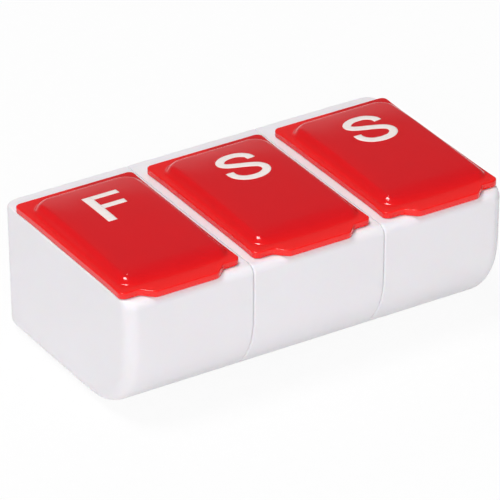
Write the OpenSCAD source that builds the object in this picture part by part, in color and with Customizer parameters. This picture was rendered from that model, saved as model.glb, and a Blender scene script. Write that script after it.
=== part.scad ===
// Detachable pill organizer: three tubs in a row, each with a hinged lid, joined by lift-off dovetails.
// Millimetres. X runs along the row, Y to the back, Z up; the origin is under the middle tub.

/* [Row] */
// Distance between the middles of neighbouring compartments
pitch = 30; // [28.5:0.5:36]
// Gap between the faces of neighbouring tubs
seam_gap = 0.1; // [0.05:0.05:0.4]

/* [Tub] */
// Depth of a tub at its rim, front to back
tub_depth = 50.4; // [49.6:0.2:60]
// Height of the rim above the base
rim_height = 28.5; // [26:0.5:40]
// Thickness of the walls and the floor
wall = 1.6; // [1.2:0.1:2]
// Lean of the front wall, in degrees
front_draft = 2.3; // [0:0.1:4]
// Radius of the scooped front bottom edge, outside
front_radius = 17.5; // [8:0.5:20]
// Radius of the back bottom edge, outside
back_radius = 3; // [2.5:0.25:6]
// Radius of the edges around the row's two end faces
end_radius = 3; // [1.5:0.25:4]
// Radius of the edges around a face that meets another tub
seam_radius = 0.4; // [0.3:0.05:1.2]
// Rounding of the rim's front edge
rim_front_round = 1.8; // [0.6:0.1:2.2]
// Rounding of the rim's back edge
rim_back_round = 1; // [0.4:0.1:1.5]
// Thickness of the lip around the mouth
lip = 2; // [1.4:0.1:3]
// Thickness of the shelf under the hinge
shelf = 1.7; // [1.3:0.1:3]
// Width of the lip that a lid rests on
seat = 1.35; // [1.2:0.05:1.5]
// Distance from a lid's edge to the row's end face
end_inset = 0.1; // [0:0.05:0.5]
// Overhang of the lip at the row's ends
end_lip = 0.25; // [0.1:0.05:0.4]
// Corner radius of the mouth
mouth_corner = 2; // [1.5:0.25:4]

/* [Lid] */
// Width of a lid
lid_width = 26.5; // [25:0.1:27]
// Depth of a lid, without its tab
lid_depth = 42.7; // [40:0.1:43.5]
// Thickness of a lid's flange
lid_thickness = 1.4; // [1.2:0.1:2]
// Radius of a lid's front corners
lid_front_corner = 1.2; // [0.8:0.1:3]
// Radius of a lid's back corners
lid_back_corner = 0.8; // [0.5:0.1:3]
// White rim in front of a lid
front_rim = 2.45; // [2:0.05:3.5]
// Gap between a closed lid and the rim
lid_gap = 0.1; // [0.05:0.05:0.2]
// Depth of the skirt under a lid
skirt_depth = 2; // [1:0.1:3]
// Thickness of the skirt
skirt_wall = 1.2; // [0.8:0.1:1.6]
// Clearance between the skirt and the mouth
skirt_clearance = 0.3; // [0.2:0.05:0.5]

/* [Panel] */
// Flat border beside the raised panel
panel_side = 1.1; // [0.6:0.05:2]
// Flat border behind the raised panel
panel_back = 2.1; // [1.5:0.1:4]
// Flat border in front of the raised panel
panel_front = 0.45; // [0.4:0.05:3]
// Radius of the raised panel's back corners
panel_corner = 4.5; // [3:0.25:6]
// Radius of the raised panel's front corners
panel_front_corner = 3; // [1:0.25:4]
// Width of the panel's rounded edge
panel_edge_run = 1.8; // [1.2:0.1:2.4]
// Height of the panel where it is highest
panel_peak = 2.2; // [1.6:0.1:3]
// Distance of the highest place behind the middle of the tub
panel_peak_y = 5; // [0:0.5:10]
// Height of the panel at its front
panel_low_front = 0.4; // [0.3:0.05:1]
// Height of the panel at its back
panel_low_back = 1.45; // [0.8:0.05:1.6]
// Thickness of the panel over its hollow underside
panel_skin = 1.1; // [0.8:0.1:1.6]

/* [Tab] */
// Width of the thumb tab at its tip
tab_width = 13.9; // [10:0.1:16]
// Reach of the tab in front of the lid
tab_reach = 2.5; // [1.8:0.1:2.6]
// Radius of the tab's front corners
tab_corner = 1.5; // [0.5:0.1:2]
// Radius of the hollows where the tab meets the lid
tab_root = 1.5; // [0.5:0.1:2]

/* [Hinge] */
// Distance from a lid's back edge to the pin
hinge_set_back = 1.05; // [1:0.05:1.2]
// Depth of the pin's middle below the rim
hinge_drop = 0.3; // [0.2:0.05:0.5]
// Radius of the pin
pin_radius = 0.5; // [0.4:0.05:0.6]
// Clearance around the pin in the tub
pin_grip = 0.02; // [0.01:0.01:0.04]
// Clearance around the pin in the lid
pin_run = 0.06; // [0.03:0.01:0.1]
// Outside radius of the knuckles
knuckle_radius = 0.85; // [0.8:0.05:0.95]
// Width of each of a lid's two knuckles
knuckle_width = 5.4; // [3:0.2:6]
// Width of the tub's middle knuckle
middle_knuckle = 6; // [4:0.2:7]
// Gap between the knuckles, along the pin
knuckle_gap = 0.3; // [0.2:0.05:0.5]
// Room around the knuckles in their slot
slot_room = 0.2; // [0.15:0.05:0.3]
// Wall between the slot and the mouth
slot_wall = 1.5; // [1.2:0.1:2]
// Wall of the tub's outer knuckles beyond the pin's hole
pin_stop = 0.6; // [0.4:0.1:0.9]
// Play at each end of the pin
pin_play = 0.1; // [0.05:0.05:0.2]
// Width of the snap opening over the pin, as a share of the pin's width
snap_share = 0.75; // [0.6:0.05:0.85]

/* [Dovetail] */
// Width of the tongue where it leaves the middle tub
tongue_root = 6; // [4:0.25:9]
// Extra width of the tongue at its tip
tongue_flare = 2; // [1:0.25:3]
// Reach of the tongue
tongue_reach = 2.2; // [1.5:0.1:3]
// Height of the tongue
tongue_height = 16; // [10:0.5:18]
// Height of the tongue's foot above the base
tongue_foot = 6; // [3:0.5:7]
// Distance of the tongue behind the middle of the tub
tongue_back = 6; // [2:0.5:8]
// Clearance around the tongue in its groove
tongue_clearance = 0.25; // [0.15:0.05:0.4]
// Wall of the rib around a groove
rib_wall = 1.4; // [1:0.1:2]

/* [Hidden] */
tub_white = "#E9E8EC";
lid_red = "#DC0D18";
pin_grey = "#B9BDC2";
$fn = 64;
// Overrun of a cut past the face that it opens
over = 1;
// Thickness of a slice in a rounded shell
slice = 0.01;
// Slices in the rounded edges of an end face and of a seam face, and points along the arcs
end_steps = 6;
seam_steps = 3;
front_steps = 18;
arc_steps = 5;
tab_steps = 6;
// Least radius of the back arc in a slice that is drawn in
least_arc = 0.25;
// Depth trimmed off the shell to leave one flat base
trim = 0.05;
// Points across the panel's rounded edge, and cross sections along its corners and between them
edge_steps = 6;
corner_steps = 9;
middle_steps = 8;

// Where the lid lies
lid_front = -tub_depth / 2 + front_rim;
lid_back = lid_front + lid_depth;
lid_bottom = rim_height + lid_gap;
lid_top = lid_bottom + lid_thickness;
panel_start = lid_front + panel_front;
panel_end = lid_back - panel_back;

// Where the hinge lies
pin_y = lid_back + hinge_set_back;
pin_z = rim_height - hinge_drop;
slot_half = knuckle_radius + slot_room;
slot_floor = pin_z - slot_half;
slot_front = pin_y - slot_half;

// The mouth that the lid closes
mouth_width = lid_width - 2 * seat;
mouth_front = lid_front + seat;
mouth_back = slot_front - slot_wall;

// The two kinds of side that a tub has, measured from the middle of its compartment
seam_side = pitch / 2 - seam_gap / 2;
end_side = lid_width / 2 + end_inset;
end_wall = end_side - mouth_width / 2 - end_lip;

// The pin's hole, and where the tub's outer knuckles start, measured along the pin from its middle
pin_hole = mouth_width / 2 - pin_stop;
outer_knuckle = middle_knuckle / 2 + knuckle_width + 2 * knuckle_gap;

// The dovetail
tongue_top = tongue_foot + tongue_height;
rib_depth = tongue_reach + tongue_clearance + rib_wall - seam_gap;
rib_top = tongue_top + tongue_clearance + rib_wall;
rib_half = tongue_root / 2 + tongue_flare / 2 + tongue_clearance + rib_wall;

// Front wall: where it stands at a height, and the middles of the rounding above and the scoop below it
function front_y(z) = -tub_depth / 2 + tan(front_draft) * (rim_height - z);
function beside_front(r, z) = front_y(z) + r / cos(front_draft);
scoop_y = beside_front(front_radius, front_radius);
front_round_z = rim_height + trim - rim_front_round;
front_round_y = beside_front(rim_front_round, front_round_z);
back_round_z = rim_height + trim - rim_back_round;

// A size brought to the nearest thousandth, so that level faces stay level
function even(v) = round(v * 1000) / 1000;

// Points of an arc, from one angle to another
function arc(y, z, r, from, to, steps) =
    [for (i = [0 : steps]) let (a = from + (to - from) * i / steps) [even(y + r * cos(a)), even(z + r * sin(a))]];

// Side outline of a tub, drawn in by an inset everywhere but at its rim
function side_outline(inset) = let (back_inset = min(inset, back_radius - least_arc)) concat(
    arc(front_round_y + inset, front_round_z, rim_front_round, 90, 180 + front_draft, arc_steps),
    arc(scoop_y, front_radius, front_radius - inset, 180 + front_draft, 270, front_steps),
    arc(tub_depth / 2 - back_radius, back_radius + inset - back_inset, back_radius - back_inset, 270, 360, arc_steps),
    arc(tub_depth / 2 - rim_back_round - back_inset, back_round_z, rim_back_round, 0, 90, arc_steps));

// Turns an outline in Y and Z into a bar along X
module bar(from, to) {
    translate([from, 0, 0])
        rotate([90, 0, 90])
            linear_extrude(to - from)
                children();
}

// Rectangle with round corners between two corners
module rounded(low, high, r) {
    translate([low[0] + r, low[1]])
        square([high[0] - low[0] - 2 * r, high[1] - low[1]]);
    translate([low[0], low[1] + r])
        square([high[0] - low[0], high[1] - low[1] - 2 * r]);
    for (x = [low[0] + r, high[0] - r], y = [low[1] + r, high[1] - r])
        translate([x, y])
            circle(r);
}

// Rod along X
module rod(from, to, r) {
    translate([from, pin_y, pin_z])
        rotate([0, 90, 0])
            cylinder(h = to - from, r = r);
}

// Slices of the shell that round the edges of one side face; way is 1 for the right side
module side_slices(side, r, steps, way) {
    for (i = [0 : steps - 1]) {
        a = 90 * i / steps;
        x = way * (side - r * (1 - cos(a)));
        bar(min(x, x - way * slice), max(x, x - way * slice))
            translate([0, -trim])
                polygon(side_outline(r * (1 - sin(a))));
    }
}

// Outside of a tub, from its left side at a seam to its right side
module shell(left, right, right_r, right_steps) {
    wide = left + right + 2 * over;
    difference() {
        hull() {
            side_slices(left, seam_radius, seam_steps, -1);
            side_slices(right, right_r, right_steps, 1);
            bar(-left + seam_radius, right - right_r)
                translate([0, -trim])
                    polygon(side_outline(0));
        }
        translate([-left - over, -tub_depth, -over])
            cube([wide, 2 * tub_depth, over]);
    }
}

// Compartment between two places along the row, the mouth above it and the slot for the hinge
module hollow(from, to) {
    bar(from, to)
        difference() {
            intersection() {
                polygon(side_outline(wall));
                translate([-tub_depth / 2, 0])
                    square([tub_depth, rim_height - lip]);
            }
            translate([mouth_back, slot_floor - shelf])
                square([tub_depth, rim_height]);
        }
    translate([0, 0, rim_height - lip - over])
        linear_extrude(lip + 2 * over)
            rounded([-mouth_width / 2, mouth_front], [mouth_width / 2, mouth_back], mouth_corner);
    bar(-mouth_width / 2, mouth_width / 2)
        translate([slot_front, slot_floor])
            square([2 * slot_half, rim_height]);
}

// Tub's knuckle between two places along the pin
module tub_knuckle(from, to) {
    rod(from, to, knuckle_radius);
    bar(from, to)
        translate([slot_front, slot_floor - slice])
            square([2 * slot_half, pin_z - slot_floor + slice]);
}

// Tub with its compartment and hinge; the pin snaps into its knuckles from above
module tub(right, right_r, right_steps, right_wall) {
    difference() {
        union() {
            difference() {
                shell(seam_side, right, right_r, right_steps);
                hollow(-seam_side + wall, right - right_wall);
            }
            tub_knuckle(-middle_knuckle / 2, middle_knuckle / 2);
            tub_knuckle(outer_knuckle, mouth_width / 2 + slice);
            tub_knuckle(-mouth_width / 2 - slice, -outer_knuckle);
        }
        rod(-pin_hole, pin_hole, pin_radius + pin_grip);
        bar(-pin_hole, pin_hole)
            translate([pin_y - snap_share * pin_radius, pin_z])
                square([2 * snap_share * pin_radius, knuckle_radius + over]);
    }
}

// Plan of the tongue, or of its groove with a clearance, on the right side of the middle tub
module tongue_plan(clearance) {
    x = seam_side;
    root = tongue_root / 2 + clearance;
    tip = root + tongue_flare / 2;
    polygon([[x - slice, tongue_back - root], [x + tongue_reach + clearance, tongue_back - tip],
        [x + tongue_reach + clearance, tongue_back + tip], [x - slice, tongue_back + root]]);
}

// Middle tub, with a tongue on each side
module middle_tub() {
    tub(seam_side, seam_radius, seam_steps, wall);
    for (way = [0, 1])
        mirror([way, 0, 0])
            translate([0, 0, tongue_foot])
                linear_extrude(tongue_height)
                    tongue_plan(0);
}

// Right end tub; its groove opens at the base, so that the tub lifts off
module end_tub() {
    difference() {
        union() {
            tub(end_side, end_radius, end_steps, end_wall);
            translate([-seam_side + seam_radius, tongue_back - rib_half, seam_radius])
                cube([rib_depth - seam_radius, 2 * rib_half, rib_top - seam_radius]);
        }
        translate([-pitch, 0, -over])
            linear_extrude(tongue_top + tongue_clearance + over)
                tongue_plan(tongue_clearance);
    }
}

// Right half of a lid's front tab, whose end slopes at half a right angle
module half_tab_plan() {
    half = tab_width / 2;
    bend = tan(22.5);
    polygon(concat(
        [[-slice, lid_front + tab_reach], [-slice, lid_front - tab_reach]],
        arc(half - bend * tab_corner, lid_front - tab_reach + tab_corner, tab_corner, 270, 315, tab_steps),
        arc(half + tab_reach + bend * tab_root, lid_front - tab_root, tab_root, 135, 90, tab_steps),
        [[half + tab_reach + bend * tab_root, lid_front + tab_reach]]));
}

// Front tab of a lid
module tab_plan() {
    for (way = [0, 1])
        mirror([way, 0])
            half_tab_plan();
}

// Plan of a lid's flange
module flange_plan() {
    half = lid_width / 2;
    rounded([-half, lid_front], [half, lid_back - lid_back_corner], lid_front_corner);
    rounded([-half, lid_front + lid_front_corner], [half, lid_back], lid_back_corner);
}

// How far a round corner draws a side in, at a place past the corner's start
function drawn_in(past, r) = past > 0 ? r - sqrt(max(r * r - past * past, 0)) : 0;

// Half the width of the raised panel at a place along the lid
function panel_half(y) = lid_width / 2 - panel_side
    - drawn_in(panel_start + panel_front_corner - y, panel_front_corner)
    - drawn_in(y - panel_end + panel_corner, panel_corner);

// Share of the panel's height at a distance inside its edge
function edge_share(inset) = 1 - pow(1 - min(max(inset / panel_edge_run, 0), 1), 2);

// Height of the panel's top at a place along the lid: low in front, highest behind the middle
function panel_top(y) = edge_share(min(y - panel_start, panel_end - y)) * (panel_peak - (y < panel_peak_y
    ? (panel_peak - panel_low_front) * pow((panel_peak_y - y) / (panel_peak_y - panel_start), 2)
    : (panel_peak - panel_low_back) * pow((y - panel_peak_y) / (panel_end - panel_peak_y), 2)));

// Right half of the panel's cross section at a place along the lid, down to a depth
function panel_section(y, depth) = concat([[panel_half(y), -depth]],
    [for (i = [0 : edge_steps]) let (inset = panel_edge_run * i / edge_steps)
        [panel_half(y) - inset, edge_share(inset) * panel_top(y)]]);

// Places along the lid where the panel has cross sections
panel_places = concat(
    [for (i = [0 : corner_steps]) panel_start + panel_front_corner * (1 - cos(90 * i / corner_steps))],
    [for (i = [1 : middle_steps - 1]) panel_start + panel_front_corner
        + (panel_end - panel_corner - panel_start - panel_front_corner) * i / middle_steps],
    [for (i = [0 : corner_steps]) panel_end - panel_corner * (1 - sin(90 * i / corner_steps))]);

// Raised panel with a rounded edge, standing on a foot of some depth
module panel(depth) {
    hull()
        for (y = panel_places)
            translate([0, y, lid_top])
                rotate([90, 0, 0])
                    linear_extrude(slice)
                        polygon(concat(panel_section(y, depth),
                            [for (i = [edge_steps + 1 : -1 : 0]) let (p = panel_section(y, depth)[i]) [-p[0], p[1]]]));
}

// Skirt outline under a lid, drawn in by an inset
module skirt_plan(inset) {
    gap = skirt_clearance + inset;
    rounded([-mouth_width / 2 + gap, mouth_front + gap], [mouth_width / 2 - gap, mouth_back - gap],
        max(mouth_corner - inset, slice));
}

// Lid with its tab, raised panel, skirt and two hinge knuckles
module lid() {
    difference() {
        union() {
            translate([0, 0, lid_bottom])
                linear_extrude(lid_thickness) {
                    flange_plan();
                    tab_plan();
                }
            panel(slice);
            translate([0, 0, lid_bottom - skirt_depth])
                linear_extrude(skirt_depth + slice)
                    skirt_plan(0);
            for (way = [0, 1])
                mirror([way, 0, 0])
                    lid_knuckle();
        }
        translate([0, 0, lid_bottom - skirt_depth - over])
            linear_extrude(skirt_depth + over)
                skirt_plan(skirt_wall);
        intersection() {
            translate([0, 0, lid_bottom - slice])
                linear_extrude(lid_thickness + panel_peak)
                    skirt_plan(skirt_wall);
            translate([0, 0, -panel_skin])
                panel(lid_thickness);
        }
        rod(-pitch, pitch, pin_radius + pin_run);
    }
}

// Right hinge knuckle of a lid, with the web that joins it to the flange
module lid_knuckle() {
    from = middle_knuckle / 2 + knuckle_gap;
    rod(from, from + knuckle_width, knuckle_radius);
    bar(from, from + knuckle_width)
        translate([lid_back - over, lid_bottom])
            square([hinge_set_back + over, pin_z + knuckle_radius - lid_bottom]);
}

// Hinge pin
module hinge_pin() {
    rod(-pin_hole + pin_play, pin_hole - pin_play, pin_radius);
}

module friday_tub() {
    color(tub_white)
        translate([-pitch, 0, 0])
            mirror([1, 0, 0])
                end_tub();
}

module saturday_tub() {
    color(tub_white)
        middle_tub();
}

module sunday_tub() {
    color(tub_white)
        translate([pitch, 0, 0])
            end_tub();
}

module friday_lid() {
    color(lid_red)
        translate([-pitch, 0, 0])
            lid();
}

module saturday_lid() {
    color(lid_red)
        lid();
}

module sunday_lid() {
    color(lid_red)
        translate([pitch, 0, 0])
            lid();
}

module friday_hinge_pin() {
    color(pin_grey)
        translate([-pitch, 0, 0])
            hinge_pin();
}

module saturday_hinge_pin() {
    color(pin_grey)
        hinge_pin();
}

module sunday_hinge_pin() {
    color(pin_grey)
        translate([pitch, 0, 0])
            hinge_pin();
}

friday_tub();
saturday_tub();
sunday_tub();
friday_lid();
saturday_lid();
sunday_lid();
friday_hinge_pin();
saturday_hinge_pin();
sunday_hinge_pin();
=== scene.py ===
import bpy
import bmesh
import math
from mathutils import Matrix, Vector
from mathutils.bvhtree import BVHTree


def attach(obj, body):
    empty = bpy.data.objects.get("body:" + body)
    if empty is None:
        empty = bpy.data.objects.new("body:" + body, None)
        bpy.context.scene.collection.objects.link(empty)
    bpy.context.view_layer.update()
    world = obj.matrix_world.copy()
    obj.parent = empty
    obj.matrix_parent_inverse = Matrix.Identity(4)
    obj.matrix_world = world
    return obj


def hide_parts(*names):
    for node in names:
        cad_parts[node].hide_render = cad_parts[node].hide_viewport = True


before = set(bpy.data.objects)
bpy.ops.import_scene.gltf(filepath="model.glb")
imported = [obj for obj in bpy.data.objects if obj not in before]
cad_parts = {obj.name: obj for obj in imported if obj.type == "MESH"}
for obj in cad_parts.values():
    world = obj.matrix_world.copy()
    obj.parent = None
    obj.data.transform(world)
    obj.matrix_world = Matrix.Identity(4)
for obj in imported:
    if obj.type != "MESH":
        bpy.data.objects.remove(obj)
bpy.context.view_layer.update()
scene = bpy.context.scene
mm = 0.001
print("frame loaded:", len(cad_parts), "CAD nodes")


# colours and nodes

def linearColor(hexText, alpha=1.0):
    # sRGB hex to the linear values that shaders use
    parts = [int(hexText[i:i + 2], 16) / 255 for i in (1, 3, 5)]
    return tuple(c / 12.92 if c <= 0.04045 else ((c + 0.055) / 1.055) ** 2.4 for c in parts) + (alpha,)


def addNode(tree, kind, settings=None, inputs=None):
    # one node with its settings; an input that is a socket gets a link, anything else is a value
    node = tree.nodes.new(kind)
    for key, value in (settings or {}).items():
        setattr(node, key, value)
    for key, value in (inputs or {}).items():
        if isinstance(value, bpy.types.NodeSocket):
            tree.links.new(value, node.inputs[key])
        else:
            node.inputs[key].default_value = value
    return node


def newMaterial(name):
    material = bpy.data.materials.new(name)
    material.use_nodes = True
    material.node_tree.nodes.clear()
    return material, material.node_tree


# mesh helpers

normalWeight = 50
samePlace = 1e-7


def addShell(bm, rings, closedEnds=True, glowShares=None):
    # skin over rings that all have the same number of points, in millimetres; glowShares gives each ring its
    # share of the painted glow
    rows = [[bm.verts.new((x * mm, y * mm, z * mm)) for x, y, z in ring] for ring in rings]
    count = len(rows[0])
    if glowShares:
        layer = bm.verts.layers.float["paintedGlow"]
        for vertices, value in zip(rows, glowShares):
            for v in vertices:
                v[layer] = value
    for lower, upper in zip(rows, rows[1:]):
        for i in range(count):
            j = (i + 1) % count
            bm.faces.new((lower[i], lower[j], upper[j], upper[i]))
    if closedEnds:
        bm.faces.new(list(reversed(rows[0])))
        bm.faces.new(rows[-1])


def addBarX(bm, outline, start, end):
    # outline in Y and Z, drawn out along X
    addShell(bm, [[(start, y, z) for y, z in outline], [(end, y, z) for y, z in outline]])


def arcPoints(cx, cy, radius, fromDeg, toDeg, count):
    angles = [math.radians(fromDeg + (toDeg - fromDeg) * i / count) for i in range(count + 1)]
    return [(cx + radius * math.cos(a), cy + radius * math.sin(a)) for a in angles]


def between(a, b, shares):
    return [(a[0] + (b[0] - a[0]) * s, a[1] + (b[1] - a[1]) * s) for s in shares]


def toMesh(bm, name):
    bmesh.ops.recalc_face_normals(bm, faces=bm.faces)
    mesh = bpy.data.meshes.new(name)
    bm.to_mesh(mesh)
    bm.free()
    return mesh


def toObject(mesh, name):
    piece = bpy.data.objects.new(name, mesh)
    scene.collection.objects.link(piece)
    return piece


def carve(mesh, cuts):
    # booleans in order; each cut is a way and the mesh of its tool
    piece = toObject(mesh, "carveWork")
    tools = []
    for way, toolMesh in cuts:
        tool = toObject(toolMesh, "carveTool")
        tools.append(tool)
        change = piece.modifiers.new("carve", "BOOLEAN")
        change.operation = way
        change.solver = "EXACT"
        change.object = tool
    bpy.context.view_layer.update()
    done = bpy.data.meshes.new_from_object(piece.evaluated_get(bpy.context.evaluated_depsgraph_get()))
    for spare in tools + [piece]:
        bpy.data.objects.remove(spare)
    return done


def finishPiece(mesh, name, material, body, replaced, sharpDeg):
    # smooth shading that keeps flat faces flat, then the piece joins its body
    mesh.name = name
    mesh.materials.clear()
    mesh.materials.append(material)
    mesh.shade_smooth()
    mesh.set_sharp_from_angle(angle=math.radians(sharpDeg))
    piece = toObject(mesh, name)
    weigh = piece.modifiers.new("weightedNormals", "WEIGHTED_NORMAL")
    weigh.keep_sharp = True
    weigh.weight = normalWeight
    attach(piece, body)
    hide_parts(replaced)
    return piece


# materials

plasticIor = 1.49

# polypropylene, injection moulded in a finely spark-eroded tool: soft white, satin, slightly waxy inside
tubFinish = {"white": "#EEEBF0", "shade": "#E9E6EA", "patchMm": 22.0, "roughness": 0.36, "roughSpread": 0.05,
             "grainMm": 0.35, "grainDepthMm": 0.02, "bump": 0.1, "soak": 0.12, "soakMm": 1.2}


def makeTubPlastic():
    material, tree = newMaterial("mouldedWhitePolypropylene")
    place = addNode(tree, "ShaderNodeTexCoord").outputs["Object"]
    patches = addNode(tree, "ShaderNodeTexNoise", {}, {
        "Vector": place, "Scale": 1 / (tubFinish["patchMm"] * mm), "Detail": 2.0})
    tone = addNode(tree, "ShaderNodeMix", {"data_type": "RGBA"}, {0: patches.outputs["Fac"]})
    tone.inputs[6].default_value = linearColor(tubFinish["white"])
    tone.inputs[7].default_value = linearColor(tubFinish["shade"])
    grain = addNode(tree, "ShaderNodeTexNoise", {}, {
        "Vector": place, "Scale": 1 / (tubFinish["grainMm"] * mm), "Detail": 3.0})
    rough = addNode(tree, "ShaderNodeMapRange", {}, {
        "Value": grain.outputs["Fac"], "To Min": tubFinish["roughness"] - tubFinish["roughSpread"],
        "To Max": tubFinish["roughness"] + tubFinish["roughSpread"]})
    bump = addNode(tree, "ShaderNodeBump", {}, {
        "Strength": tubFinish["bump"], "Distance": tubFinish["grainDepthMm"] * mm,
        "Height": grain.outputs["Fac"]})
    shader = addNode(tree, "ShaderNodeBsdfPrincipled", {}, {
        "Base Color": tone.outputs[2], "Roughness": rough.outputs["Result"], "Normal": bump.outputs["Normal"],
        "IOR": plasticIor, "Subsurface Weight": tubFinish["soak"],
        "Subsurface Scale": tubFinish["soakMm"] * mm})
    addNode(tree, "ShaderNodeOutputMaterial", {}, {"Surface": shader.outputs["BSDF"]})
    return material


# the same plastic, pigmented red and moulded in a polished tool: deep colour under a clear gloss,
# faint flow waves; the thin flange gets a painted glow: it is painted a lighter red where it lies
# on the white rim than over the hollow, standing in for light that comes through the plastic
lidFinish = {"red": "#D50D17", "deep": "#CF0B15", "glowRed": "#F31A17", "flowMm": 9.0, "flowTwist": 0.6,
             "roughFrom": 0.1, "roughTo": 0.18, "waveMm": 3.0, "waveDepthMm": 0.05, "bump": 0.05,
             "soak": 0.1, "soakMm": 0.8}


def makeLidPlastic():
    material, tree = newMaterial("glossyRedPolypropylene")
    place = addNode(tree, "ShaderNodeTexCoord").outputs["Object"]
    flow = addNode(tree, "ShaderNodeTexNoise", {}, {
        "Vector": place, "Scale": 1 / (lidFinish["flowMm"] * mm), "Detail": 2.0,
        "Distortion": lidFinish["flowTwist"]})
    tone = addNode(tree, "ShaderNodeMix", {"data_type": "RGBA"}, {0: flow.outputs["Fac"]})
    tone.inputs[6].default_value = linearColor(lidFinish["red"])
    tone.inputs[7].default_value = linearColor(lidFinish["deep"])
    # painted glow: where this share is high the red gives way to a lighter painted red, in place of light
    # through the plastic
    glowShare = addNode(tree, "ShaderNodeAttribute", {"attribute_name": "paintedGlow"})
    whole = addNode(tree, "ShaderNodeMix", {"data_type": "RGBA"}, {
        0: glowShare.outputs["Fac"], 6: tone.outputs[2]})
    whole.inputs[7].default_value = linearColor(lidFinish["glowRed"])
    wave = addNode(tree, "ShaderNodeTexNoise", {}, {
        "Vector": place, "Scale": 1 / (lidFinish["waveMm"] * mm), "Detail": 1.0})
    rough = addNode(tree, "ShaderNodeMapRange", {}, {
        "Value": flow.outputs["Fac"], "To Min": lidFinish["roughFrom"], "To Max": lidFinish["roughTo"]})
    bump = addNode(tree, "ShaderNodeBump", {}, {
        "Strength": lidFinish["bump"], "Distance": lidFinish["waveDepthMm"] * mm,
        "Height": wave.outputs["Fac"]})
    shader = addNode(tree, "ShaderNodeBsdfPrincipled", {}, {
        "Base Color": whole.outputs[2], "Roughness": rough.outputs["Result"],
        "Normal": bump.outputs["Normal"], "IOR": plasticIor, "Subsurface Weight": lidFinish["soak"],
        "Subsurface Scale": lidFinish["soakMm"] * mm})
    addNode(tree, "ShaderNodeOutputMaterial", {}, {"Surface": shader.outputs["BSDF"]})
    return material


# hot-stamped white foil ink: flat, matt, a little uneven where it took to the plastic
inkFinish = {"white": "#F1E8E4", "thin": "#EBD9D6", "mottleMm": 0.9, "thinFrom": 0.45, "thinTo": 0.8,
             "thinMost": 0.6, "roughness": 0.45, "ior": 1.5}


def makeInk():
    material, tree = newMaterial("stampedWhiteInk")
    place = addNode(tree, "ShaderNodeTexCoord").outputs["Object"]
    mottle = addNode(tree, "ShaderNodeTexNoise", {}, {
        "Vector": place, "Scale": 1 / (inkFinish["mottleMm"] * mm), "Detail": 3.0})
    share = addNode(tree, "ShaderNodeMapRange", {}, {
        "Value": mottle.outputs["Fac"], "From Min": inkFinish["thinFrom"], "From Max": inkFinish["thinTo"],
        "To Max": inkFinish["thinMost"]})
    tone = addNode(tree, "ShaderNodeMix", {"data_type": "RGBA"}, {0: share.outputs["Result"]})
    tone.inputs[6].default_value = linearColor(inkFinish["white"])
    tone.inputs[7].default_value = linearColor(inkFinish["thin"])
    shader = addNode(tree, "ShaderNodeBsdfPrincipled", {}, {
        "Base Color": tone.outputs[2], "Roughness": inkFinish["roughness"], "IOR": inkFinish["ior"]})
    addNode(tree, "ShaderNodeOutputMaterial", {}, {"Surface": shader.outputs["BSDF"]})
    return material


# drawn steel wire: bright metal with fine scratches that run along it
wireFinish = {"light": "#C9CCD0", "dark": "#A9ADB3", "scratchMm": 0.12, "stretch": 0.02,
              "roughFrom": 0.22, "roughTo": 0.4}


def makeWire():
    material, tree = newMaterial("drawnSteelWire")
    place = addNode(tree, "ShaderNodeTexCoord").outputs["Object"]
    along = addNode(tree, "ShaderNodeMapping", {}, {
        "Vector": place, "Scale": (wireFinish["stretch"], 1.0, 1.0)})
    scratch = addNode(tree, "ShaderNodeTexNoise", {}, {
        "Vector": along.outputs["Vector"], "Scale": 1 / (wireFinish["scratchMm"] * mm), "Detail": 2.0})
    tone = addNode(tree, "ShaderNodeMix", {"data_type": "RGBA"}, {0: scratch.outputs["Fac"]})
    tone.inputs[6].default_value = linearColor(wireFinish["light"])
    tone.inputs[7].default_value = linearColor(wireFinish["dark"])
    rough = addNode(tree, "ShaderNodeMapRange", {}, {
        "Value": scratch.outputs["Fac"], "To Min": wireFinish["roughFrom"], "To Max": wireFinish["roughTo"]})
    shader = addNode(tree, "ShaderNodeBsdfPrincipled", {}, {
        "Base Color": tone.outputs[2], "Roughness": rough.outputs["Result"], "Metallic": 1.0})
    addNode(tree, "ShaderNodeOutputMaterial", {}, {"Surface": shader.outputs["BSDF"]})
    return material


tubPlastic = makeTubPlastic()
lidPlastic = makeLidPlastic()
ink = makeInk()
wire = makeWire()
print("materials made")


# tubs

row = {"pitch": 30.0, "days": ("friday", "saturday", "sunday"),
       "modules": ("left_module", "middle_module", "right_module"),
       "lids": ("left_lid", "middle_lid", "right_lid")}

# sizes in millimetres, from the middle of the tub; seams are the sides that meet a neighbour
tubShape = {
    "depth": 50.4, "rim": 28.5, "wall": 1.6, "draft": math.radians(2.3), "scoop": 17.5, "backRound": 3.0,
    "endSide": 13.35, "endRound": 3.0, "endWall": 1.2, "seamSide": 14.95, "seamRound": 0.4,
    "rimFront": 1.8, "rimBack": 1.0, "rimSide": 0.25, "rimSeam": 0.1,
    "lip": 2.0, "mouthHalf": 11.9, "mouthFront": -21.4, "mouthBack": 18.45, "mouthCorner": 2.0,
    "mouthEdge": 0.3, "mouthSlack": 0.02, "shelf": 25.45, "innerCorner": 1.0, "innerRound": 4.5,
    "cornerSteps": 10, "sharpDeg": 38}

# numbers of rings on the outside, from the foot up, then at the mouth and on the inside
tubRings = {"foot": 8, "scoop": 22, "wall": 5, "rim": 10, "mouth": 4, "floor": 8, "inside": 14, "shelf": 3}
rimShares = (1.0, 0.6, 0.3, 0.1)

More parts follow.
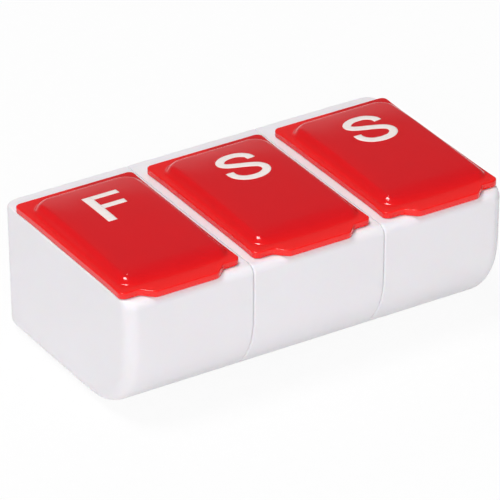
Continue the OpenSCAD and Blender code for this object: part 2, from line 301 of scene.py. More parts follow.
# the pin's line in Y and Z, places along it from the middle of the tub, and the lid's webs to it
hinge = {"y": 21.0, "z": 28.2, "slotHalf": 1.05, "slotTop": 31.0, "knuckle": 0.85, "pinHole": 0.52,
         "lidHole": 0.56, "snap": 0.375, "shoulder": 0.05, "postSink": 0.2, "middle": 3.0, "lidFrom": 3.3,
         "lidTo": 8.7, "outer": 9.0, "holeEnd": 11.3, "end": 11.9, "endSink": 0.05,
         "arcSteps": 12, "ringSteps": 40,
         "webIn": 0.8, "webBack": 0.45, "webTop": 0.6, "webTip": 0.05, "webSkim": 0.01}

# tongues on the middle tub, grooves in the end tubs, and the rib inside an end tub that holds its groove
dovetail = {"back": 6.0, "root": 3.0, "flare": 1.0, "reach": 2.2, "foot": 6.0, "top": 22.0, "clear": 0.25,
            "sink": 0.3, "skim": 0.01, "grooveFoot": -1.0, "ribIn": 0.9, "ribHalf": 5.65, "ribDepth": 3.75,
            "ribTop": 23.65}


def halfChord(radius, off):
    return math.sqrt(max(radius * radius - off * off, 0.0))


def frontY(z, inset):
    s = tubShape
    r = s["scoop"]
    wallAt = lambda level: -s["depth"] / 2 + math.tan(s["draft"]) * (s["rim"] - level)
    if z < r - (r - inset) * math.sin(s["draft"]):
        return wallAt(r) + r / math.cos(s["draft"]) - halfChord(r - inset, r - z)
    top = s["rim"] - s["rimFront"]
    if z <= top:
        return wallAt(z) + inset / math.cos(s["draft"])
    return wallAt(top) + s["rimFront"] / math.cos(s["draft"]) + inset - halfChord(s["rimFront"], z - top)


def backY(z, inset):
    s = tubShape
    if z < s["backRound"]:
        radius = max(s["backRound"] - inset, 0.0)
        return s["depth"] / 2 - s["backRound"] + halfChord(radius, s["backRound"] - z)
    top = s["rim"] - s["rimBack"]
    if z <= top:
        return s["depth"] / 2 - inset
    return s["depth"] / 2 - s["rimBack"] - inset + halfChord(s["rimBack"], z - top)


def cornerRun(z, side, radius, way, edgeY):
    # corner of the outside at one height, from the side face towards the front or back
    low = math.asin(max(0.0, 1 - z / radius)) if z < radius else 0.0
    edge = tubShape["rimSide" if radius > tubShape["seamRound"] else "rimSeam"]
    top = tubShape["rim"] - edge
    drawnIn = edge - halfChord(edge, z - top) if z > top else 0.0
    run = []
    for i in range(tubShape["cornerSteps"] + 1):
        a = low + (math.pi / 2 - low) * i / tubShape["cornerSteps"]
        x = side - radius * (1 - math.cos(a)) - drawnIn
        run.append((way * x, edgeY(z, radius * (1 - math.sin(a)))))
    return run


supportShares = (0.02, 0.1, 0.5, 0.9, 0.98)


def joinCorners(frontLeft, frontRight, backRight, backLeft):
    # four corners and a few points along each edge between them make one ring
    ring = []
    corners = (frontLeft, frontRight, backRight, backLeft)
    for i, corner in enumerate(corners):
        ring += corner + between(corner[-1], corners[(i + 1) % 4][0], supportShares)
    return ring


def outerRing(z, sides):
    (left, leftRound), (right, rightRound) = sides
    ring = joinCorners(
        cornerRun(z, left, leftRound, -1, frontY), cornerRun(z, right, rightRound, 1, frontY)[::-1],
        cornerRun(z, right, rightRound, 1, backY), cornerRun(z, left, leftRound, -1, backY)[::-1])
    return [(x, y, z) for x, y in ring]


def plainRing(x0, x1, y0, y1, radius, z):
    n = tubShape["cornerSteps"]
    ring = joinCorners(
        arcPoints(x0 + radius, y0 + radius, radius, 180, 270, n),
        arcPoints(x1 - radius, y0 + radius, radius, 270, 360, n),
        arcPoints(x1 - radius, y1 - radius, radius, 0, 90, n),
        arcPoints(x0 + radius, y1 - radius, radius, 90, 180, n))
    return [(x, y, z) for x, y in ring]


def steps(a, b, count, ease=False):
    # values from a to b; eased ones crowd towards a
    shares = [i / count for i in range(count + 1)]
    if ease:
        shares = [1 - math.cos(math.pi / 2 * share) for share in shares]
    return [a + (b - a) * share for share in shares]


def tubMesh(sides, walls):
    # one closed skin: up the outside, over the rim, through the mouth and down the inside
    s = tubShape
    n = tubRings
    heights = steps(0, s["endRound"], n["foot"], True) + steps(s["endRound"], s["scoop"], n["scoop"])[1:]
    heights += steps(s["scoop"], s["rim"] - s["rimFront"], n["wall"])[1:]
    heights += [s["rim"] - s["rimFront"] + s["rimFront"] * math.sin(math.pi / 2 * i / n["rim"])
                for i in range(1, n["rim"] + 1)]
    heights += [s["rim"] - s["rimSide"] * f for f in rimShares]
    rings = [outerRing(z, sides) for z in sorted(set(round(h, 5) for h in heights))]
    m, e = s["mouthHalf"], s["mouthEdge"]
    for i in range(n["mouth"] + 1):
        a = math.pi / 2 * i / n["mouth"]
        grow = e * (1 - math.sin(a))
        rings.append(plainRing(-m - grow, m + grow, s["mouthFront"] - grow, s["mouthBack"] + grow,
                               s["mouthCorner"] + grow, s["rim"] - e * (1 - math.cos(a))))
    under = s["rim"] - s["lip"]
    rings.append(plainRing(-m, m, s["mouthFront"], s["mouthBack"], s["mouthCorner"], under))
    x0, x1 = -sides[0][0] + walls[0], sides[1][0] - walls[1]
    inner = lambda z, back: plainRing(x0, x1, frontY(z, s["wall"]), back, s["innerCorner"], z)
    rings += [inner(z, s["mouthBack"] + s["mouthSlack"]) for z in (under, s["shelf"])]
    deep = steps(s["wall"], s["innerRound"], n["floor"], True)
    deep += steps(s["innerRound"], s["scoop"], n["inside"])[1:]
    deep += steps(s["scoop"], s["shelf"], n["shelf"])[1:]
    rings += [inner(z, backY(z, s["wall"])) for z in reversed(deep)]
    bm = bmesh.new()
    addShell(bm, rings)
    return toMesh(bm, "tubShell")


def boxMesh(x0, x1, y0, y1, z0, z1):
    bm = bmesh.new()
    addShell(bm, [[(x0, y0, z), (x1, y0, z), (x1, y1, z), (x0, y1, z)] for z in (z0, z1)])
    return toMesh(bm, "box")


def wedgeMesh(face, reach, grow, z0, z1, way):
    # dovetail prism on one side; way is 1 for the right
    d = dovetail
    root, tip = d["root"] + grow, d["root"] + d["flare"] + grow
    outline = [(face - d["sink"], d["back"] - root), (face + reach, d["back"] - tip),
               (face + reach, d["back"] + tip), (face - d["sink"], d["back"] + root)]
    bm = bmesh.new()
    addShell(bm, [[(way * x, y, z) for x, y in outline] for z in (z0, z1)])
    return toMesh(bm, "wedge")


def hingeSlot():
    h = hinge
    return boxMesh(-h["end"], h["end"], h["y"] - h["slotHalf"], h["y"] + h["slotHalf"],
                   h["z"] - h["slotHalf"], h["slotTop"])


def knucklePost(bm, start, end, clip=True):
    # tub's post for the pin: a block with a round top, and in a clip a hole that a snap opening reaches
    h = hinge
    r, c, n = h["knuckle"], h["snap"], h["arcSteps"]
    foot = h["z"] - h["slotHalf"] - h["postSink"]
    outline = [(h["y"] + h["slotHalf"], foot), (h["y"] + h["slotHalf"], h["z"]),
               (h["y"] + r + h["shoulder"], h["z"])]
    if clip:
        outer = math.degrees(math.asin(c / r))
        inner = math.degrees(math.asin(c / h["pinHole"]))
        outline += arcPoints(h["y"], h["z"], r, 0, 90 - outer, n)
        outline += arcPoints(h["y"], h["z"], h["pinHole"], 90 - inner, -270 + inner, 2 * n)
        outline += arcPoints(h["y"], h["z"], r, 90 + outer, 180, n)
    else:
        outline += arcPoints(h["y"], h["z"], r, 0, 180, 2 * n)
    outline += [(h["y"] - r - h["shoulder"], h["z"]), (h["y"] - h["slotHalf"], h["z"]),
                (h["y"] - h["slotHalf"], foot)]
    addBarX(bm, outline, start, end)


def shifted(mesh, x, mirrored=False):
    if mirrored:
        mesh.transform(Matrix.Diagonal((-1, 1, 1, 1)))
        mesh.flip_normals()
    mesh.transform(Matrix.Translation((x * mm, 0, 0)))
    return mesh


def addMeshTo(mesh, extra):
    bm = bmesh.new()
    bm.from_mesh(mesh)
    for other in extra:
        bm.from_mesh(other)
    bm.to_mesh(mesh)
    bm.free()
    return mesh


def makeTub(index):
    s, h, d = tubShape, hinge, dovetail
    middle = index == 1
    seam, end = (s["seamSide"], s["seamRound"]), (s["endSide"], s["endRound"])
    if middle:
        body = carve(tubMesh((seam, seam), (s["wall"], s["wall"])), [("DIFFERENCE", hingeSlot())])
    else:
        rib = boxMesh(-s["seamSide"] + d["ribIn"], -s["seamSide"] + d["ribDepth"], d["back"] - d["ribHalf"],
                      d["back"] + d["ribHalf"], d["ribIn"], d["ribTop"])
        groove = wedgeMesh(s["seamSide"] - d["skim"], d["reach"] + d["clear"] + d["skim"], d["clear"],
                           d["grooveFoot"], d["top"] + d["clear"], 1)
        groove.transform(Matrix.Translation((-row["pitch"] * mm, 0, 0)))
        body = carve(tubMesh((seam, end), (s["wall"], s["endWall"])),
                     [("UNION", rib), ("DIFFERENCE", groove), ("DIFFERENCE", hingeSlot())])
    bm = bmesh.new()
    knucklePost(bm, -h["middle"], h["middle"])
    for way in (-1, 1):
        knucklePost(bm, *sorted((way * h["outer"], way * h["holeEnd"])))
        knucklePost(bm, *sorted((way * h["holeEnd"], way * (h["end"] + h["endSink"]))), clip=False)
    extra = [toMesh(bm, "posts")]
    if middle:
        extra += [wedgeMesh(s["seamSide"], d["reach"], 0.0, d["foot"], d["top"], way) for way in (-1, 1)]
    body = addMeshTo(body, extra)
    shifted(body, (index - 1) * row["pitch"], mirrored=index == 0)
    day = row["days"][index]
    return finishPiece(body, day + "Tub", tubPlastic, row["modules"][index], day + "_tub",
                       s["sharpDeg"])


tubs = [makeTub(i) for i in range(3)]
print("tubs made:", [len(t.data.polygons) for t in tubs])


# lids

# sizes in millimetres, from the middle of the lid: flange, raised panel, hollow under it, skirt in the mouth;
# the last line sets the painted glow, a lighter red painted in for light through the plastic: it fades
# inwards, less at the sides than at the front
lidShape = {
    "half": 13.25, "front": -22.75, "back": 19.95, "bottom": 28.6, "top": 30.0, "frontCorner": 1.5,
    "backCorner": 1.3, "flare": 0.25, "flareFrom": 0.6, "flareSide": 11.0,
    "edgeTop": 0.25, "edgeBottom": 0.15, "edgeBend": 0.3, "sharpDeg": 30,
    "panelSide": 1.1, "panelMiddle": 0.4, "panelFront": 1.1, "panelBack": 2.1, "panelCorner": 4.5,
    "panelFrontCorner": 3.0, "panelLeast": 0.3, "panelRun": 1.8, "footFrom": -0.35, "footTo": 0.25,
    "peak": 2.1, "peakY": 5.0, "frontFall": 0.75, "dip": 1.1, "dipRun": 5.0, "backFall": 0.65,
    "softRun": 6.0, "softShare": 0.14, "bow": 1.1, "bowRun": 10.0,
    "skin": 1.1, "pocketIn": 2.4, "pocketEdge": 0.3,
    "skirtHalf": 11.6, "skirtFront": -21.1, "skirtBack": 18.15, "skirtBottom": 26.6, "skirtWall": 1.2,
    "skirtCorner": 2.0, "skirtLeast": 0.5, "skirtEdge": 0.25,
    "fadeFrom": -0.7, "fade": 1.2, "foreFrom": -18.0, "foreRun": 3.5, "sideGlow": (0.7, 0.1)}

# numbers of steps around a corner and along a side, and of rings on each part of the lid
lidSteps = {"corner": 9, "side": 20, "edge": 6, "pocket": 8, "foot": 4, "round": 8, "top": 20}
sideShares = [i / lidSteps["side"] for i in range(1, lidSteps["side"])]

tab = {"half": 6.95, "reach": 2.5, "corner": 1.5, "cornerLeast": 0.05, "root": 1.5, "steps": 6,
       "tipShares": (0.25, 0.5, 0.75)}


def tabEdge(inset):
    # front edge of the flange from left to right, around the thumb tab, whose ends slope at 45 degrees
    bend = math.tan(math.pi / 8)
    y = lidShape["front"] + inset
    half, tip = tab["half"] - inset * bend, lidShape["front"] - tab["reach"] + inset
    root, corner = tab["root"] + inset, max(tab["corner"] - inset, tab["cornerLeast"])
    foot = half + tab["reach"] + bend * root
    left = arcPoints(-foot, y - root, root, 90, 45, tab["steps"])
    left += arcPoints(-half + bend * corner, tip + corner, corner, 225, 270, tab["steps"])
    right = [(-px, py) for px, py in reversed(left)]
    return left + between(left[-1], right[0], tab["tipShares"]) + right


frontCount = len(tabEdge(0.0))


def lidRing(half, front, back, frontCorner, backCorner, z, tabInset=None):
    # ring from the front left corner round to the left side; with tabInset its front runs around the tab
    n = lidSteps["corner"]
    corners = (arcPoints(-half + frontCorner, front + frontCorner, frontCorner, 180, 270, n),
               arcPoints(half - frontCorner, front + frontCorner, frontCorner, 270, 360, n),
               arcPoints(half - backCorner, back - backCorner, backCorner, 0, 90, n),
               arcPoints(-half + backCorner, back - backCorner, backCorner, 90, 180, n))
    ring = list(corners[0])
    if tabInset is None:
        shares = [(i + 1) / (frontCount + 1) for i in range(frontCount)]
        ring += between(corners[0][-1], corners[1][0], shares)
    else:
        ring += tabEdge(tabInset)
    for i in (1, 2, 3):
        ring += corners[i] + between(corners[i][-1], corners[(i + 1) % 4][0], sideShares)
    return [(x, y, z) for x, y in ring]


def flangeRing(inset, level):
    # the sides of the flange flare out a little towards its corners
    s = lidShape
    middle, reach = (s["front"] + s["back"]) / 2, (s["back"] - s["front"]) / 2
    ring = []
    for x, y, z in lidRing(s["half"] - inset, s["front"] + inset, s["back"] - inset,
                           s["frontCorner"] - inset, s["backCorner"] - inset, level, inset):
        past = min(max((abs(y - middle) / reach - s["flareFrom"]) / (1 - s["flareFrom"]), 0.0), 1.0)
        side = min(max(abs(x) - s["flareSide"], 0.0) / (s["half"] - s["flareSide"]), 1.0)
        ring.append((x + math.copysign(s["flare"] * past ** 2 * side, x), y, z))
    return ring


def panelHeight(y):
    # highest behind the panel's middle; it falls a little towards the hinge and the front,
    # and dips down to the tab
    s = lidShape
    front, back = s["front"] + s["panelFront"], s["back"] - s["panelBack"]
    if y > s["peakY"]:
        return s["peak"] - s["backFall"] * ((y - s["peakY"]) / (back - s["peakY"])) ** 2
    dip = max(1 - (y - front) / s["dipRun"], 0.0)
    return s["peak"] - s["frontFall"] * ((s["peakY"] - y) / (s["peakY"] - front)) ** 2 - s["dip"] * dip ** 2


def edgeShare(inset):
    # share of the panel's height at a distance inside its edge: a rounded edge, then a soft shoulder
    s = lidShape
    edge, soft = (1 - max(1 - inset / s[run], 0.0) ** 2 for run in ("panelRun", "softRun"))
    return edge + (soft - edge) * s["softShare"]


def panelRing(inset, share, drop=0.0):
    # ring of the panel at a share of its height; past the rounded edge its corners open out
    # to the middle line
    s = lidShape
    half = s["half"] - s["panelSide"] - inset
    wide = s["half"] - s["panelSide"] - s["panelRun"]
    u = min(max((inset - s["panelRun"]) / wide * 2, 0.0), 1.0)
    corners = [max(s[r] - min(inset, s["panelRun"]), s["panelLeast"])
               for r in ("panelFrontCorner", "panelCorner")]
    corners = [c + (half - c) * u * (2 - u) for c in corners]
    front = s["front"] + s["panelFront"]
    ring = []
    for x, y, z in lidRing(half, front + inset, s["back"] - s["panelBack"] - inset, *corners, 0.0):
        # the front edge bows out towards the tab
        y += s["bow"] * (x / s["half"]) ** 2 * (1 - min((y - front) / s["bowRun"], 1.0)) ** 2
        ring.append((x + s["panelMiddle"], y, s["top"] + share * panelHeight(y) - drop))
    return ring


def skirtRing(inset, z):
    s = lidShape
    corner = max(s["skirtCorner"] - inset, s["skirtLeast"])
    return lidRing(s["skirtHalf"] - inset, s["skirtFront"] + inset, s["skirtBack"] - inset, corner, corner, z)


def lidRings():
    # rings from the hollow under the panel, around the skirt and flange, up to the panel's middle line,
    # each with its share of the painted glow, the lighter red painted in for light through the plastic
    s, n = lidShape, lidSteps
    wide = s["half"] - s["panelSide"]
    inward = steps(s["pocketIn"] + s["pocketEdge"], wide, n["pocket"])
    rings = [panelRing(inset, 1.0, s["skin"]) for inset in reversed(inward)]
    rings += [panelRing(s["pocketIn"], 1.0, s["skin"] + s["pocketEdge"]),
              [(x, y, s["bottom"]) for x, y, z in panelRing(s["pocketIn"], 0.0)]]
    # skirt, down its inside and up its outside
    wall, edge, low = s["skirtWall"], s["skirtEdge"], s["skirtBottom"]
    rings += [skirtRing(inset, z) for inset, z in (
        (wall, s["bottom"]), (wall, low + edge), (wall - edge, low),
        (edge, low), (0.0, low + edge), (0.0, s["bottom"]))]
    glowShares = [0.0] * len(rings)
    # flange, up its edge
    edge, bend = s["edgeBottom"], s["edgeBottom"] * s["edgeBend"]
    rings += [flangeRing(inset, s["bottom"] + up) for inset, up in ((edge, 0.0), (bend, bend), (0.0, edge))]
    edge = s["edgeTop"]
    rings += [flangeRing(edge * (1 - math.cos(a)), s["top"] - edge + edge * math.sin(a))
              for a in steps(0, math.pi / 2, n["edge"])]
    glowShares += [1.0] * (len(rings) - len(glowShares))
    # panel: hollow foot, rounded edge, then the top
    foot = steps(s["footFrom"], s["footTo"], n["foot"])
    footRun = s["footTo"] - s["footFrom"]
    shares = [edgeShare(s["footTo"]) * ((inset - s["footFrom"]) / footRun) ** 2 for inset in foot]
    upper = steps(s["footTo"], s["panelRun"], n["round"])[1:] + steps(s["panelRun"], wide, n["top"])[1:]
    shares += [edgeShare(inset) for inset in upper]
    rings += [panelRing(inset, share) for inset, share in zip(foot + upper, shares)]
    # the painted glow fades inwards over the panel's foot and edge
    glowShares += [math.exp(-(inset - s["fadeFrom"]) / s["fade"]) for inset in foot + upper]
    return rings, glowShares


def lidKnuckles(bm):
    # two rings on the pin, each with a web to the flange
    h, s = hinge, lidShape
    for way in (-1, 1):
        start, end = sorted((way * h["lidFrom"], way * h["lidTo"]))
        outer, inner = (arcPoints(h["y"], h["z"], h[r], 0, 360, h["ringSteps"])[:-1]
                        for r in ("knuckle", "lidHole"))
        around = ((start, inner), (start, outer), (end, outer), (end, inner), (start, inner))
        addShell(bm, [[(x, y, z) for y, z in ring] for x, ring in around], closedEnds=False)
        near, far = s["back"] - h["webIn"], h["y"] - h["webBack"]
        web = [(near, s["bottom"]), (far, s["bottom"]), (far, h["z"] + h["webTop"]),
               (h["y"] - h["webTip"], h["z"] + h["knuckle"] - h["webSkim"]), (near, h["z"] + h["knuckle"])]
        addBarX(bm, web, start, end)


def makeLid(index):
    s = lidShape
    bm = bmesh.new()
    bm.verts.layers.float.new("paintedGlow")
    rings, glowShares = lidRings()
    addShell(bm, rings, closedEnds=False, glowShares=glowShares)
    layer = bm.verts.layers.float["paintedGlow"]
    for vert in bm.verts:
        # painted glow: weaker at the sides than at the front and the tab, least on the right, away from the
        # light
        fore = min(max((s["foreFrom"] - vert.co.y / mm) / s["foreRun"], 0.0), 1.0)
        side = s["sideGlow"][vert.co.x > 0]
        vert[layer] *= side + (1 - side) * fore
    lidKnuckles(bm)
    # the rings of the panel and of the hollow close on the middle line, and the knuckles on themselves
    bmesh.ops.remove_doubles(bm, verts=bm.verts, dist=samePlace)
    mesh = shifted(toMesh(bm, "lid"), (index - 1) * row["pitch"])
    day = row["days"][index]
    return finishPiece(mesh, day + "Lid", lidPlastic, row["lids"][index], day + "_lid",
                       s["sharpDeg"])


lids = [makeLid(i) for i in range(3)]
print("lids made:", [len(t.data.polygons) for t in lids])


# day marks: plain initials drawn with broad strokes, stamped on the crowned panel

mark = {"middle": {"F": (1.0, 6.0), "S": (1.19, 6.13)}, "proud": 0.04, "foil": 0.06, "castFrom": 100.0,
        "stepMm": 0.25, "curveSteps": 8,
        "stem": 2.0, "arm": 1.5, "half": 3.78, "top": 5.5, "armEnd": (4.05, 3.4), "armY": (4.75, 0.46),
        "bendStroke": 1.75, "bendGrow": (1.016, 1.02),
        "bend": ((3.3, 2.2), (3.0, 3.6), (1.7, 4.65), (0.0, 4.95), (-1.7, 4.65), (-3.0, 3.75), (-3.45, 2.7),
                 (-2.9, 1.75), (-1.5, 1.05), (0.0, 0.5), (1.8, -0.2), (3.2, -1.05), (3.75, -2.2), (3.4, -3.5),
                 (2.1, -4.5), (0.2, -4.85), (-1.7, -4.5), (-3.05, -3.55), (-3.65, -2.4), (-3.7, -1.2))}


def strokeTree():
    # ribbon of one width that follows a path
    tree = bpy.data.node_groups.new("stampedStroke", "GeometryNodeTree")
    tree.interface.new_socket("Path", in_out="INPUT", socket_type="NodeSocketGeometry")
    tree.interface.new_socket("Width", in_out="INPUT", socket_type="NodeSocketFloat")
    tree.interface.new_socket("Step", in_out="INPUT", socket_type="NodeSocketFloat")
    tree.interface.new_socket("Ink", in_out="INPUT", socket_type="NodeSocketMaterial")
    tree.interface.new_socket("Ribbon", in_out="OUTPUT", socket_type="NodeSocketGeometry")
    given = addNode(tree, "NodeGroupInput")
    flat = addNode(tree, "GeometryNodeSetCurveNormal", {"mode": "Z_UP"}, {"Curve": given.outputs["Path"]})
    even = addNode(tree, "GeometryNodeResampleCurve", {"mode": "LENGTH"}, {
        "Curve": flat.outputs["Curve"], "Length": given.outputs["Step"]})
    half = addNode(tree, "ShaderNodeMath", {"operation": "MULTIPLY"}, {0: given.outputs["Width"], 1: 0.5})
    minus = addNode(tree, "ShaderNodeMath", {"operation": "MULTIPLY"}, {0: half.outputs[0], 1: -1.0})
    near = addNode(tree, "ShaderNodeCombineXYZ", {}, {"X": minus.outputs[0]})
    far = addNode(tree, "ShaderNodeCombineXYZ", {}, {"X": half.outputs[0]})
    across = addNode(tree, "GeometryNodeCurvePrimitiveLine", {}, {
        "Start": near.outputs[0], "End": far.outputs[0]})
    finer = addNode(tree, "GeometryNodeResampleCurve", {"mode": "LENGTH"}, {
        "Curve": across.outputs["Curve"], "Length": given.outputs["Step"]})
    sweep = addNode(tree, "GeometryNodeCurveToMesh", {}, {
        "Curve": even.outputs["Curve"], "Profile Curve": finer.outputs["Curve"]})
    whole = addNode(tree, "GeometryNodeRealizeInstances", {}, {"Geometry": sweep.outputs["Mesh"]})
    inked = addNode(tree, "GeometryNodeSetMaterial", {}, {
        "Geometry": whole.outputs["Geometry"], "Material": given.outputs["Ink"]})
    addNode(tree, "NodeGroupOutput", {}, {"Ribbon": inked.outputs["Geometry"]})
    return tree


def socketId(tree, name):
    return next(item.identifier for item in tree.interface.items_tree
                if item.name == name and item.in_out == "INPUT")


def smoothPath(points, count):
    # curve through all the points
    ends = [points[0]] + list(points) + [points[-1]]
    path = []
    for a, b, c, d in zip(ends, ends[1:], ends[2:], ends[3:]):
        for i in range(count):
            t = i / count
            path.append(tuple(
                0.5 * (2 * q + (r - p) * t + (2 * p - 5 * q + 4 * r - w) * t * t
                       + (3 * q - p - 3 * r + w) * t ** 3)
                for p, q, r, w in zip(a, b, c, d)))
    return path + [points[-1]]


def dayPaths(letter):
    # middle lines of the strokes about the middle of the mark, each with its width
    if letter == "S":
        wide, tall = mark["bendGrow"]
        points = [(x * wide, y * tall) for x, y in mark["bend"]]
        return [(mark["bendStroke"], smoothPath(points, mark["curveSteps"]))]
    x = -mark["half"] + mark["stem"] / 2
    paths = [(mark["stem"], [(x, -mark["top"]), (x, mark["top"])])]
    for end, y in zip(mark["armEnd"], mark["armY"]):
        paths.append((mark["arm"], [(x + mark["stem"] / 2, y), (end, y)]))
    return paths


def strokeMesh(tree, width, path):
    curve = bpy.data.curves.new("strokePath", "CURVE")
    curve.dimensions = "3D"
    spline = curve.splines.new("POLY")
    spline.points.add(len(path) - 1)
    for point, (x, y) in zip(spline.points, path):
        point.co = (x * mm, y * mm, 0, 1)
    holder = bpy.data.objects.new("strokePath", curve)
    scene.collection.objects.link(holder)
    ribbon = holder.modifiers.new("stampedStroke", "NODES")
    ribbon.node_group = tree
    ribbon[socketId(tree, "Width")] = width * mm
    ribbon[socketId(tree, "Step")] = mark["stepMm"] * mm
    ribbon[socketId(tree, "Ink")] = ink
    bpy.context.view_layer.update()
    mesh = bpy.data.meshes.new_from_object(holder.evaluated_get(bpy.context.evaluated_depsgraph_get()))
    bpy.data.objects.remove(holder)
    return mesh


def makeMark(index, tree, letter):
    day = row["days"][index]
    bm = bmesh.new()
    for width, path in dayPaths(letter):
        bm.from_mesh(strokeMesh(tree, width, path))
    # lay the strokes on the panel, a little proud of it
    surface = bmesh.new()
    surface.from_mesh(lids[index].data)
    panel = BVHTree.FromBMesh(surface)
    x, y = mark["middle"][letter]
    shift = Vector((((index - 1) * row["pitch"] + x) * mm, y * mm, 0))
    for v in bm.verts:
        spot = v.co + shift
        hit = panel.ray_cast(Vector((spot.x, spot.y, mark["castFrom"] * mm)), Vector((0, 0, -1)))
        v.co = hit[0] + Vector((0, 0, mark["proud"] * mm))
    surface.free()
    bm.normal_update()
    for face in bm.faces:
        if face.normal.z < 0:
            face.normal_flip()
    mesh = bpy.data.meshes.new(day + "Mark")
    bm.to_mesh(mesh)
    bm.free()
    mesh.materials.append(ink)
    mesh.shade_smooth()
    piece = toObject(mesh, day + "Mark")
    thick = piece.modifiers.new("inkThickness", "SOLIDIFY")
    thick.thickness = mark["foil"] * mm
    thick.offset = -1
    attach(piece, row["lids"][index])
    return piece


strokes = strokeTree()
marks = [makeMark(i, strokes, letter) for i, letter in enumerate("FSS")]
print("day marks made:", [len(t.data.polygons) for t in marks])


# hinge pins keep their CAD solids

for day in row["days"]:
    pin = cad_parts[day + "_hinge_pin"]
    pin.data.materials.clear()
    pin.data.materials.append(wire)
print("pins dressed")


# floor, light and camera

# lamps: name, place and size in metres, power, and whether the lids mirror the lamp;
# the pale glow low at the back gives the lids the sheen on their back parts
studio = {"floorSize": 6.0, "floorDropMm": 0.02, "floorWhite": "#E4E4E4", "floorFibre": "#F3F3F3",
          "fibreMm": 3.0, "shadowShare": 0.08, "horizon": 0.3, "ceiling": 0.16, "horizonBand": (0.05, 0.3),
          "aim": (0, 0, 0.02),
          "lamps": (("overhead", (-0.3, 0.1, 1.16), (0.42, 0.42), 8.4, True),
                    ("frontLeft", (-0.7, -1.0, 0.64), (0.6, 0.6), 10.0, False),
                    ("frontLow", (0.35, -1.2, 0.22), (1.0, 0.36), 0.9, False),
                    ("backFill", (0.5, 1.2, 0.55), (0.9, 0.9), 2.6, False),
                    ("backSpark", (0.909, 1.471, 2.45), (0.07, 0.07), 0.34, True)),
          "glow": 0.58, "glowWay": (0.37, 0.924, 0.1), "glowEdge": (0.915, 1.0)}


def makeFloor():
    # pale floor: white to the eye, with part of the object's soft shadow kept
    material, tree = newMaterial("paperFloor")
    place = addNode(tree, "ShaderNodeTexCoord").outputs["Object"]
    fibre = addNode(tree, "ShaderNodeTexNoise", {}, {
        "Vector": place, "Scale": 1 / (studio["fibreMm"] * mm), "Detail": 2.0})
    tone = addNode(tree, "ShaderNodeMix", {"data_type": "RGBA"}, {0: fibre.outputs["Fac"]})
    tone.inputs[6].default_value = linearColor(studio["floorWhite"])
    tone.inputs[7].default_value = linearColor(studio["floorFibre"])
    paper = addNode(tree, "ShaderNodeBsdfDiffuse", {}, {"Color": tone.outputs[2]})
    glow = addNode(tree, "ShaderNodeEmission", {}, {"Color": (1, 1, 1, 1), "Strength": 1.0})
    ray = addNode(tree, "ShaderNodeLightPath")
    mirrored = addNode(tree, "ShaderNodeMath", {"operation": "MAXIMUM"}, {
        0: ray.outputs["Is Glossy Ray"], 1: ray.outputs["Is Transmission Ray"]})
    seen = addNode(tree, "ShaderNodeMath", {"operation": "MAXIMUM"}, {
        0: ray.outputs["Is Camera Ray"], 1: mirrored.outputs[0]})
    share = addNode(tree, "ShaderNodeMath", {"operation": "MULTIPLY"}, {
        0: seen.outputs[0], 1: 1 - studio["shadowShare"]})
    both = addNode(tree, "ShaderNodeMixShader", {}, {
        0: share.outputs[0], 1: paper.outputs["BSDF"], 2: glow.outputs["Emission"]})
    # seen from below the floor is clear, so that the bases show
    clear = addNode(tree, "ShaderNodeBsdfTransparent", {}, {"Color": (1, 1, 1, 1)})
    below = addNode(tree, "ShaderNodeNewGeometry").outputs["Backfacing"]
    sided = addNode(tree, "ShaderNodeMixShader", {}, {
        0: below, 1: both.outputs["Shader"], 2: clear.outputs["BSDF"]})
    addNode(tree, "ShaderNodeOutputMaterial", {}, {"Surface": sided.outputs["Shader"]})
    s = studio["floorSize"]
    bm = bmesh.new()
    bm.faces.new([bm.verts.new((x * s, y * s, -studio["floorDropMm"] * mm))
                  for x, y in ((-1, -1), (1, -1), (1, 1), (-1, 1))])
    floor = toObject(toMesh(bm, "floor"), "floor")
    if floor.data.polygons[0].normal.z < 0:
        floor.data.flip_normals()
    floor.data.materials.append(material)


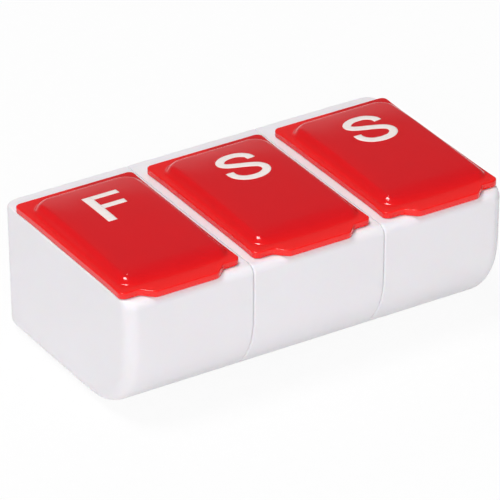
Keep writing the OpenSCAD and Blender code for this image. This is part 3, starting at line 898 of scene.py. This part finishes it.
def makeSky():
    # pale backdrop low down, and a dim ceiling above it, so that the glossy lids keep their colour
    world = bpy.data.worlds.new("studioSky")
    scene.world = world
    world.use_nodes = True
    tree = world.node_tree
    tree.nodes.clear()
    way = addNode(tree, "ShaderNodeTexCoord").outputs["Generated"]
    height = addNode(tree, "ShaderNodeSeparateXYZ", {}, {"Vector": way})
    lowFrom, lowTo = studio["horizonBand"]
    low = addNode(tree, "ShaderNodeMapRange", {"interpolation_type": "SMOOTHSTEP"}, {
        "Value": height.outputs["Z"], "From Min": lowFrom, "From Max": lowTo,
        "To Min": studio["horizon"], "To Max": studio["ceiling"]})
    toGlow = addNode(tree, "ShaderNodeVectorMath", {"operation": "DOT_PRODUCT"}, {
        0: way, 1: studio["glowWay"]})
    glowFrom, glowTo = studio["glowEdge"]
    glow = addNode(tree, "ShaderNodeMapRange", {"interpolation_type": "SMOOTHSTEP"}, {
        "Value": toGlow.outputs["Value"], "From Min": glowFrom, "From Max": glowTo,
        "To Min": studio["ceiling"], "To Max": studio["glow"]})
    strength = addNode(tree, "ShaderNodeMath", {"operation": "MAXIMUM"}, {
        0: low.outputs["Result"], 1: glow.outputs["Result"]})
    light = addNode(tree, "ShaderNodeBackground", {}, {
        "Color": (1, 1, 1, 1), "Strength": strength.outputs[0]})
    addNode(tree, "ShaderNodeOutputWorld", {}, {"Surface": light.outputs["Background"]})


def makeLamp(name, place, size, power, mirrored):
    lamp = bpy.data.lights.new(name, "AREA")
    lamp.shape = "DISK" if size[0] == size[1] else "RECTANGLE"
    lamp.size, lamp.size_y = size
    lamp.energy = power
    holder = bpy.data.objects.new(name, lamp)
    scene.collection.objects.link(holder)
    holder.visible_glossy = mirrored
    holder.location = place
    holder.rotation_euler = (Vector(studio["aim"]) - Vector(place)).to_track_quat("-Z", "Y").to_euler()


# fitted to the photograph's edges; place in millimetres, angles in degrees, focal length in pixels
camera = {"place": (-438.39, -737.15, 493.35), "azimuth": -30.68, "elevation": 29.09, "roll": -0.87,
          "focalPixels": 4903.0, "sidePixels": 500, "sensorMm": 36.0, "clip": (0.05, 50)}


def makeCamera():
    az, el, roll = (math.radians(camera[k]) for k in ("azimuth", "elevation", "roll"))
    forward = Vector((-math.sin(az) * math.cos(el), math.cos(az) * math.cos(el), -math.sin(el)))
    level = forward.cross(Vector((0, 0, 1))).normalized()
    upright = level.cross(forward)
    right = level * math.cos(roll) + upright * math.sin(roll)
    up = upright * math.cos(roll) - level * math.sin(roll)
    lens = bpy.data.cameras.new("camera")
    lens.sensor_width = camera["sensorMm"]
    lens.lens = camera["focalPixels"] / camera["sidePixels"] * camera["sensorMm"]
    lens.clip_start, lens.clip_end = camera["clip"]
    holder = bpy.data.objects.new("camera", lens)
    scene.collection.objects.link(holder)
    turn = Matrix((right, up, -forward)).transposed().to_4x4()
    holder.matrix_world = Matrix.Translation(Vector(camera["place"]) * mm) @ turn
    scene.camera = holder


makeFloor()
makeSky()
for lampSettings in studio["lamps"]:
    makeLamp(*lampSettings)
makeCamera()
scene.view_settings.view_transform = "Standard"
print("studio made")
